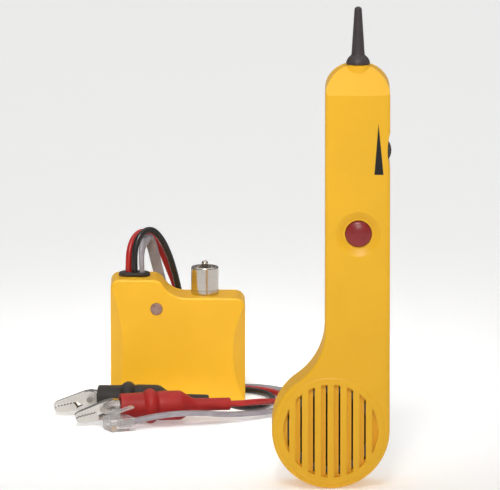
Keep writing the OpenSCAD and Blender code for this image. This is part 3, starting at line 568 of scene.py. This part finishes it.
def facet(side, z0, hh, depth, d=0.0):
    r = (hh * hh + depth * depth) / (2 * depth)
    M = (Matrix.Translation((side * GW, -GD, z0)) @ Matrix.Rotation(radians(225 if side < 0 else 315), 4, 'Z')
         @ Matrix.Translation((r - depth, 0, 0)) @ Matrix.Rotation(pi / 2, 4, 'X') @ Matrix.Translation((0, 0, -40)))
    return lathe("c", [(0, 0), (r + d, 0), (r + d, 80), (0, 80)], None, 720, M, sm=False)


def grommet_cut(g):
    pts = arc((GROM_X + 2.9, 0), 3.1 + g, -90, 90, 16) + arc((GROM_X - 2.9, 0), 3.1 + g, 90, 270, 16)
    return loft("c", [[(x, y, z) for x, y in pts] for z in (GH - 4, GH + 4)])


GEN_SCREW = [(-26.5, 53.2), (26.5, 36.5)]
W = 2.0
# front shell
gf = loft("generator_front_case", rounded_half(gen_line, -GD, 1.1, 0.0))
cav = loft("c", rounded_half(gen_line, -GD + W, 0.6, 3.0, d0=W))
for s in (-1, 1):
    wall = [(s * 40, -20), (s * 25.2, -GD - 0.4), (s * 40, 2.4)]
    bools(cav, cuts=[loft("c", [[(x, y, z) for x, y in wall] for z in (-6, 70)])])
bosses = [cyl_y(x, z, 2.4, -GD + 1.03, -0.02, 48) for x, z in GEN_SCREW]
bosses += [box((-30.6, -GD + 1.07, 31.2), (30.7, -6.5, 32.6)), box((-30.8, -GD + 1.09, 1.3), (30.9, -5, 3.7))]
bools(gf, cuts=[cav])
bools(gf, adds=bosses)
bools(gf, cuts=[facet(-1, 24, 33, 4.1), facet(1, 24, 24, 4.1), grommet_cut(0), cyl_z(COAX_X, 0, 4.1, GL - 4, GL + 4),
                cyl_y(LED_X, LED_Z, 2.95, -GD - 1, -GD + 4)] + [cyl_y(x, z, 1.15, -GD + 4, 1, 32) for x, z in GEN_SCREW])
finish(gf, "case", 0.32, 24, 38)
stand(gf, "generator", "gen_front_shell")

# back shell
gb = loft("generator_back_case", rounded_half(gen_line, GD, 1.1, 0.0))
cav = loft("c", rounded_half(gen_line, GD - W, 0.6, -3.0, d0=W))
bools(gb, cuts=[cav])
bools(gb, adds=[cyl_y(x, z, 2.4, 0, GD - 1) for x, z in GEN_SCREW]
      + [box((-28.5, 7.5, 1.5), (26, 8.5, 3.6)), box((-28.5, 7.5, 31.4), (26, 8.5, 33.4))])
dish = lathe("c", [(0, -3.5), (20, -3.5), (20, 3.5), (0, 3.5)], None, 360,
             Matrix.Translation((-GW - 19, 5, 42)) @ Matrix.Rotation(pi / 2, 4, 'X'), sm=False)
bools(gb, cuts=[grommet_cut(0), cyl_z(COAX_X, 0, 4.1, GL - 4, GL + 4), box((-GW - 1, GD - W - 0.2, 4), (22, GD + 1, 31)),
                box((-GW - 1, 8.5, 2.6), (-GW + W + 0.2, GD + 1, 32.4)), box((-GW - 1, 3, 36), (-GW + W + 1, 7, 48)), dish]
      + [cyl_y(x, z, 1.3, -1, GD + 1, 32) for x, z in GEN_SCREW] + [cyl_y(x, z, 2.2, GD - 1.6, GD + 1, 40) for x, z in GEN_SCREW])
finish(gb, "case", 0.3, 24, 38)
stand(gb, "generator", "gen_back_shell")

# grommet: an oval flange with a soft rounded lip and three cord holes
gpts = lambda d: arc((GROM_X + 2.9, 0), 4.6 - d, -90, 90, 20) + arc((GROM_X - 2.9, 0), 4.6 - d, 90, 270, 20)
rr = []
rr.append([(x, y, GH + 0.02) for x, y in gpts(0.25)])
rr.append([(x, y, GH + 0.35) for x, y in gpts(0.0)])
for i in range(7):
    t = pi / 2 * i / 6
    rr.append([(x, y, GH + 1.1 + 0.9 * sin(t)) for x, y in gpts(0.9 * (1 - cos(t)))])
rr.append([(x, y, GH + 1.85) for x, y in gpts(1.35)])
gr = loft("cord_grommet", rr)
npts = lambda g: arc((GROM_X + 2.9, 0), 3.08 + g, -90, 90, 20) + arc((GROM_X - 2.9, 0), 3.08 + g, 90, 270, 20)
neck = loft("c", [[(x, y, GH - 3.2) for x, y in npts(0.9)], [(x, y, GH - 2.1) for x, y in npts(1.4)],
                  [(x, y, GH - 2.05) for x, y in npts(0)], [(x, y, GH + 0.5) for x, y in npts(0)]])
bools(gr, adds=[neck])
fl = [(-17.1 + a, b) for a, b in (arc((0, 1.35), 1.28, 0, 180, 12) + arc((0, -1.35), 1.28, 180, 360, 12))]
bools(gr, cuts=[cyl_z(-23.6, 1.1, 1.56, GH - 5, GH + 5, 40), cyl_z(-20.6, -0.5, 1.56, GH - 5, GH + 5, 40),
                loft("c", [[(x, y, z) for x, y in fl] for z in (GH - 5, GH + 5)])])
bevel(gr, 0.15, 2, 50)
smooth(gr, 40)
paint(gr, "black_rubber")
stand(gr, "generator", "gen_grommet")

# status lamp
MY = lambda x, y, z: Matrix.Translation((x, y, z)) @ Matrix.Rotation(pi / 2, 4, 'X')
prof = [(0, -3.0)] + [(3.2, -3.0), (3.2, -2.3), (2.8, -2.2), (2.8, 0.1)]
for i in range(9):
    t = pi / 2 * i / 8
    prof.append((2.8 * cos(t), 0.35 + 0.95 * sin(t)))
prof[-1] = (0, 1.3)
led = lathe("status_lamp", prof, "led", 64, MY(LED_X, -GD, LED_Z))
stand(led, "generator", "gen_status_led")
# the bezel is a real thin ring; its darker yellow-brown, shared by the die, is painted shade round the lamp
bez = lathe("status_lamp_bezel", [(2.84, -0.6), (2.94, -0.6), (3.0, -0.28), (3.02, 0.02), (2.97, 0.1), (2.86, 0.06)], "lamp_rim_shade_tone", 64,
            MY(LED_X, -GD, LED_Z))
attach(bez, "generator")
core = lathe("status_lamp_die", [(0, -1.4), (1.3, -1.4), (1.5, -0.9), (1.1, -0.35), (0, -0.2)], "lamp_rim_shade_tone", 32, MY(LED_X, -GD, LED_Z))
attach(core, "generator")

# coax plug
z0, r0 = GL, 6.6
prof = [(2.2, z0 - 7), (4.0, z0 - 7), (4.0, z0 + 0.02), (5.6, z0 + 0.02)]
prof += [(r0 - 0.55, z0 + 0.02), (r0 - 0.2, z0 + 0.18), (r0, z0 + 0.5), (r0, z0 + 1.9), (r0 - 0.18, z0 + 2.05),
         (r0 - 0.18, z0 + 2.35), (r0, z0 + 2.5)]
top = z0 + 13.3
prof += [(r0, top - 0.9)] + [(r0 - 0.8 + 0.8 * cos(t), top - 0.8 + 0.8 * sin(t)) for t in [pi / 2 * i / 6 for i in range(7)]]
prof += [(4.75 + 0.45, top - 0.02), (4.85, top - 0.15), (4.75, top - 0.45), (4.75, z0 + 3), (2.2, z0 + 3)]
cs = lathe("coax_sleeve_body", prof, "nickel", 128, Matrix.Translation((COAX_X, 0, 0)), angle=28)
stand(cs, "generator", "coax_sleeve")
ins = lathe("coax_dielectric", [(0.6, z0 - 7), (2.15, z0 - 7), (2.15, z0 + 3.05), (4.65, z0 + 3.05), (4.65, z0 + 4.0), (4.45, z0 + 4.2),
                                (1.4, z0 + 4.2), (1.2, z0 + 4.6), (0.6, z0 + 4.6)], "insul", 64, Matrix.Translation((COAX_X, 0, 0)))
stand(ins, "generator", "coax_insulator")
prof = [(0, z0 - 9.5), (0.58, z0 - 9.3), (0.58, z0 + 4.62), (1.1, z0 + 4.7), (1.1, top + 0.1)]
for i in range(13):
    t = -pi / 2 * 0.62 + (pi / 2 * 1.62) * i / 12
    prof.append((1.65 * cos(t), top + 1.35 + 1.6 * sin(t)))
prof[-1] = (0, top + 2.9)
pn = lathe("coax_pin_turned", prof, "nickel", 64, Matrix.Translation((COAX_X, 0, 0)))
stand(pn, "generator", "coax_center_pin")


# ------------------------------------------------------------------ boots and clips
def clip_frame(at, yaw):
    return Matrix.Translation(at) @ Matrix.Rotation(radians(yaw), 4, 'Z')


AXIS_X = Matrix.Rotation(pi / 2, 4, 'Y')   # local +Z to +X


def boot(name, F, m, node):
    prof = [(5.4, 13.0), (5.3, -13.4), (5.45, -14.1), (5.8, -14.35), (6.15, -14.1), (6.25, -13.2), (6.3, -8.0), (6.45, -4.2)]
    for i in range(13):
        t = i / 12
        prof.append((6.5 + 1.8 * sin(pi * t) ** 0.8 if 0 < t < 1 else 6.5, -3.2 + 6.4 * t))
    prof += [(6.75, 3.6), (6.98, 4.3), (7.0, 6.0), (7.0, 13.6), (6.88, 14.5), (6.5, 15.3), (5.1, 17.5), (3.75, 19.6),
             (3.28, 20.6), (3.1, 22.0), (3.04, 26.0), (3.0, 37.2), (2.9, 37.9), (2.6, 38.28), (2.0, 38.3), (1.62, 38.15), (1.62, 16.5)]
    o = lathe(name, prof, m, 96, F @ AXIS_X, angle=40)
    stand(o, "generator", node)
    return o


RF = clip_frame((-12.9, -63, 8.3), 8)
BF = clip_frame((-23.3, -45, 8.3), -8)
boot("red_boot_moulding", RF, "red_rubber", "red_boot")
boot("black_boot_moulding", BF, "black_rubber", "black_boot")

# ------------------------------------------------------------------ probe
PX, PY = 83.6, -210.0
HW, HT, HR = 14.9, 14.0, 27.1
HX = HW - HR
FIL = 30.0
FCX = -HW - FIL
FCZ = HR + sqrt((FIL + HR) ** 2 - (HX - FCX) ** 2)
FA = degrees(atan2(FCZ - HR, HX - FCX))
CASE_H = 195.6
DOME = CASE_H - 13.6
PWALL = 1.5


def probe_line(d):
    return (arc((HW - 14, DOME), 14 - d, 0, 76, 20) + arc((-HW + 14, DOME), 14 - d, 104, 180, 20)
            + arc((FCX, FCZ), FIL + d, 0, -FA, 24) + arc((HX, HR), HR - d, 180 - FA, 360, 120))


BTN = (0.4, 118.7)
WHL = (HW + 0.6 - 7.5, 157.3)
P_SCREW = [(HX - 16.4, 43.5), (HX + 16.4, 10.7), (0.2, 179.5)]
DOOR = (-11.5, 56, 11.5, 112)


def slope(sign):
    a, b = (14.0, 183.1), (4.6, 195.7)
    k = (b[1] - a[1]) / (a[0] - b[0])
    pts = [(sign * 30, a[1] - k * 16), (sign * b[0], b[1]), (sign * b[0], 215), (sign * 30, 215)]
    return prism_x(pts, -40, 40)


def inner_slope(sign):
    a, b = (12.6, 182.6), (3.6, 194.3)
    k = (b[1] - a[1]) / (a[0] - b[0])
    pts = [(sign * 30, a[1] - k * 17.4), (sign * b[0], b[1]), (sign * b[0], 215), (sign * 30, 215)]
    return prism_x(pts, -40, 40)


def tip_boss(sign):
    """A round boss under the tip: the slope cuts it to a U on each face."""
    o = cyl_z(0.2, 0, 7.3, CASE_H - 7, CASE_H - 0.03, 160)
    outline = loft("c", [[(x, y, z) for x, z in probe_line(0.02)] for y in (sign * 0.015, sign * 10)])
    md = o.modifiers.new("b", 'BOOLEAN')
    md.operation = 'INTERSECT'
    md.solver = 'EXACT'
    md.object = outline
    bake(o)
    fix(o)
    bpy.data.objects.remove(outline)
    return o


def to_probe(o):
    o.data.transform(Matrix.Translation((PX * MM, PY * MM, 0)))
    return o


def half(sign, extra_cuts, extra_adds, name):
    R = 1.7
    o = loft(name, rounded_half(probe_line, sign * HT, R, 0.0, steps=7))
    bools(o, cuts=[slope(sign)])
    bools(o, adds=[tip_boss(sign)])
    cav = loft("c", rounded_half(probe_line, sign * (HT - PWALL), 0.8, -sign * 3.0, steps=3, d0=PWALL))
    bools(cav, cuts=[inner_slope(sign)])
    bools(o, cuts=[cav])
    bools(o, adds=extra_adds)
    bools(o, cuts=extra_cuts)
    return o


scoop = lambda: lathe("c", [(0, -30), (30, -30), (30, 30), (0, 30)], None, 720,
                      Matrix.Translation((HW + 30 - 1.2, 0, WHL[1])) @ Matrix.Rotation(pi / 2, 4, 'X'), sm=False)


def slot_cut(x0, x1, r, y0, y1):
    """An upright slot whose ends follow the grille's circle."""
    n = 8
    up = [(x0 + (x1 - x0) * i / n, HR + sqrt(max(0.01, r * r - (x0 + (x1 - x0) * i / n - HX) ** 2))) for i in range(n + 1)]
    dn = [(x, 2 * HR - z) for x, z in reversed(up)]
    return prism_y(up + dn, y0, y1)


fr_adds = [cyl_y(HX, HR, 24.2, -HT + 0.5, -HT + 3, 160), cyl_y(BTN[0], BTN[1], 12, -HT + 0.5, -HT + 3.4, 96)]
fr_adds += [cyl_y(x, z, 2.6, -HT + 0.5, 0, 40) for x, z in P_SCREW]
fr_adds += [box((HW - 2, -13, WHL[1] - 13), (HW - 0.5, -0.01, WHL[1] + 13))]
# the speaker disc stands very slightly proud, with a soft edge
M = Matrix.Translation((HX, -HT + 1, HR)) @ Matrix.Rotation(pi / 2, 4, 'X')
fr_adds += [lathe("c", [(0, 0), (24.9, 0), (24.9, 0.98), (24.6, 1.18), (24.1, 1.3), (0, 1.3)], None, 192, M, sm=False)]
SLOT, PITCH, GR = 2.94, 5.87, 21.7
cuts = []
for i in range(8):
    xc = HX + (i - 3.5) * PITCH
    cuts.append(slot_cut(xc - SLOT / 2, xc + SLOT / 2, GR, -HT - 1, -HT + 1.7))
slits = []
for i in range(7):
    xc = HX + (i - 3.5) * PITCH
    slits.append(slot_cut(xc + SLOT / 2 - 0.82, xc + SLOT / 2 - 0.02, GR - 0.8, -HT - 1, -HT + 5))
dish = cyl_y(BTN[0], BTN[1], 10.4, -HT - 0.02, -HT + 1.6, 128, r2=7.2)
front_cuts = cuts + slits + [dish, cyl_y(BTN[0], BTN[1], 6.2, -HT - 1, -HT + 5, 96), scoop(),
                             cyl_z(0.2, 0, 2.6, CASE_H - 8, CASE_H + 4, 40),
                             box((WHL[0] + 2, -12.6, WHL[1] - 7), (HW + 2, -8.6, WHL[1] + 7))]
front_cuts += [cyl_y(x, z, 1.15, -HT + 4, 1, 32) for x, z in P_SCREW]
pf = half(-1, front_cuts, fr_adds, "probe_front_case")
finish(pf, "case", 0.22, 26, 36)
to_probe(pf)
stand(pf, "probe", "probe_front_shell")

bk_adds = [cyl_y(x, z, 2.6, 0, HT - 0.5, 40) for x, z in P_SCREW]
bk_adds += [box((HW - 2, 0.013, WHL[1] - 13), (HW - 0.53, 12.9, WHL[1] + 13)), box((-13.9, 5.1, 53.6), (14.1, 12.95, 55.2)),
            box((-14.07, 5.1, 112.8), (14.06, 12.97, 114.0))]
bk_cuts = [box((DOOR[0], HT - 2, DOOR[1]), (DOOR[2], HT + 1, DOOR[3])), scoop(), cyl_z(0.2, 0, 2.6, CASE_H - 8, CASE_H + 4, 40)]
bk_cuts += [cyl_y(x, z, 1.3, -1, HT + 1, 32) for x, z in P_SCREW] + [cyl_y(x, z, 2.3, HT - 1.6, HT + 1, 40) for x, z in P_SCREW]
pb = half(1, bk_cuts, bk_adds, "probe_back_case")
finish(pb, "case", 0.22, 26, 36)
to_probe(pb)
stand(pb, "probe", "probe_back_shell")

# tip
T = 26.6
prof = [(0, -7), (2.5, -7), (2.5, 0.02), (5.1, 0.02), (5.4, 0.12), (5.5, 0.35), (5.47, 0.8), (5.28, 1.5), (4.9, 2.3), (4.4, 3.0),
        (3.8, 3.6), (3.4, 3.95), (3.14, 4.25), (3.04, 4.9), (2.4, 14.8), (1.72, T - 1.5)]
prof += [(1.68 * cos(t), T - 1.4 + 1.4 * sin(t)) for t in [pi / 2 * i / 8 for i in range(1, 8)]] + [(0, T)]
tp = lathe("pickup_tip", prof, "tip", 96, Matrix.Translation((PX + 0.2, PY, CASE_H)), angle=35)
stand(tp, "probe", "probe_tip")

# push button: a glossy domed cap
prof = [(0, HT - 6.2), (1.8, HT - 6.2), (1.8, HT - 4.7), (7.2, HT - 4.7), (7.2, HT - 3.7), (5.9, HT - 3.7), (5.9, HT - 1.0)]
for i in range(1, 13):
    r = 5.9 * (1 - i / 12)
    edge = 0.28 * max(0.0, 1 - (5.9 - r) / 0.9) ** 2
    prof.append((r, HT + 0.55 - (17.9 - sqrt(320.4 - r * r)) - edge))
prof.insert(7, (5.9, HT - 0.85))
prof[-1] = (0, HT + 0.55)
bt = lathe("push_button_cap", prof, "button", 96, MY(PX + BTN[0], PY, BTN[1]), angle=34)
stand(bt, "button", "probe_button")

# printed volume wedge on the front face
wv = [(91.25, 146.4), (95.4, 146.4), (93.1, 170.2)]
wy = PY - HT
wedge = loft("volume_mark", [[(x, wy - 0.05, z) for x, z in wv], [(x, wy + 0.05, z) for x, z in wv]], "mark")
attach(wedge, "probe")

# ------------------------------------------------------------------ carried-over CAD nodes
SHOW = {
    "gen_battery_door": ("case", 0.25), "gen_case_screws": ("screw", 0.08), "gen_circuit_board": ("board", 0.1),
    "gen_switch_body": ("switch", 0.2), "gen_switch_slider": ("black_plastic", 0.12), "gen_battery": ("battery", 0.4),
    "gen_battery_snap": ("black_plastic", 0.3), "coax_nut": ("screw", 0.1),
    "red_lower_jaw": ("clip", 0.07), "red_upper_jaw": ("clip", 0.07), "red_clip_pivot": ("screw", 0.1), "red_clip_spring": ("spring", 0.05),
    "black_lower_jaw": ("clip", 0.07), "black_upper_jaw": ("clip", 0.07), "black_clip_pivot": ("screw", 0.1), "black_clip_spring": ("spring", 0.05),
    "plug_body": ("clear", 0.12), "plug_contacts": ("gold", 0.03), "plug_latch": ("clear", 0.12),
    "probe_battery_door": ("case", 0.25), "probe_case_screws": ("screw", 0.08), "pickup_rod": ("pickup", 0.1),
    "button_switch": ("switch", 0.1), "volume_wheel": ("black_plastic", 0.06), "volume_pot": ("pot", 0.2),
    "probe_circuit_board": ("board", 0.1), "speaker_frame": ("speaker", 0.2), "speaker_cone": ("paper", 0.1),
    "speaker_magnet": ("magnet", 0.3), "probe_battery": ("battery", 0.4), "probe_battery_snap": ("black_plastic", 0.3),
}
for n, (m, w) in SHOW.items():
    o = NODES[n]
    o.data.materials.clear()
    o.data.materials.append(MAT[m])
    md = o.modifiers.new("edge", 'BEVEL')
    md.width = w * MM
    md.segments = 2
    md.limit_method = 'ANGLE'
    md.angle_limit = radians(40)
    md.use_clamp_overlap = True
    wn = o.modifiers.new("normals", 'WEIGHTED_NORMAL')
    wn.keep_sharp = True

# ------------------------------------------------------------------ stage and light
n = 12
vs = [(-14.0 + 28.0 * i / n, -14.0 + 28.0 * k / n, -0.0002) for k in range(n + 1) for i in range(n + 1)]
fs = [(k * (n + 1) + i, k * (n + 1) + i + 1, (k + 1) * (n + 1) + i + 1, (k + 1) * (n + 1) + i) for k in range(n) for i in range(n)]
floor = new_obj("studio_floor", vs, fs, scale=1.0)
smooth(floor, 60)
floor.data.materials.append(material("studio_paper", (246, 246, 246), rough=0.85, var=0.004, var_scale=3, grain=300,
                                     bump=0.01, spec=0.2, emission=0.30))

bpy.context.scene.view_settings.view_transform = 'Standard'
world = bpy.data.worlds.new("studio")
bpy.context.scene.world = world
world.use_nodes = True
bg = world.node_tree.nodes.get('Background') or world.node_tree.nodes.new('ShaderNodeBackground')
bg.inputs['Color'].default_value = (1.0, 0.99, 0.975, 1)
bg.inputs['Strength'].default_value = 0.22


def area(name, loc, target, size, power, col=(1, 1, 1), spread=180):
    d = bpy.data.lights.new(name, 'AREA')
    d.shape = 'RECTANGLE'
    d.size, d.size_y = size
    d.energy = power
    d.color = col
    d.spread = radians(spread)
    o = bpy.data.objects.new(name, d)
    coll.objects.link(o)
    o.location = loc
    o.rotation_euler = (Vector(target) - Vector(loc)).to_track_quat('-Z', 'Y').to_euler()
    return o


area("key", (0.09, -1.10, 0.42), (0.084, -0.22, 0.17), (0.3, 0.3), 0.034, (1, 0.985, 0.96), spread=20)
area("generator_key", (-0.05, -0.80, 0.75), (0.0, -0.012, 0.03), (0.3, 0.3), 0.165, (1, 0.985, 0.965), spread=18)
area("overhead", (0.0, 0.6, 2.6), (0.0, 0.6, 0.0), (4.5, 4.5), 52)
area("side", (0.9, -0.3, 0.35), (0.08, -0.2, 0.1), (0.3, 0.8), 0.095, spread=100)
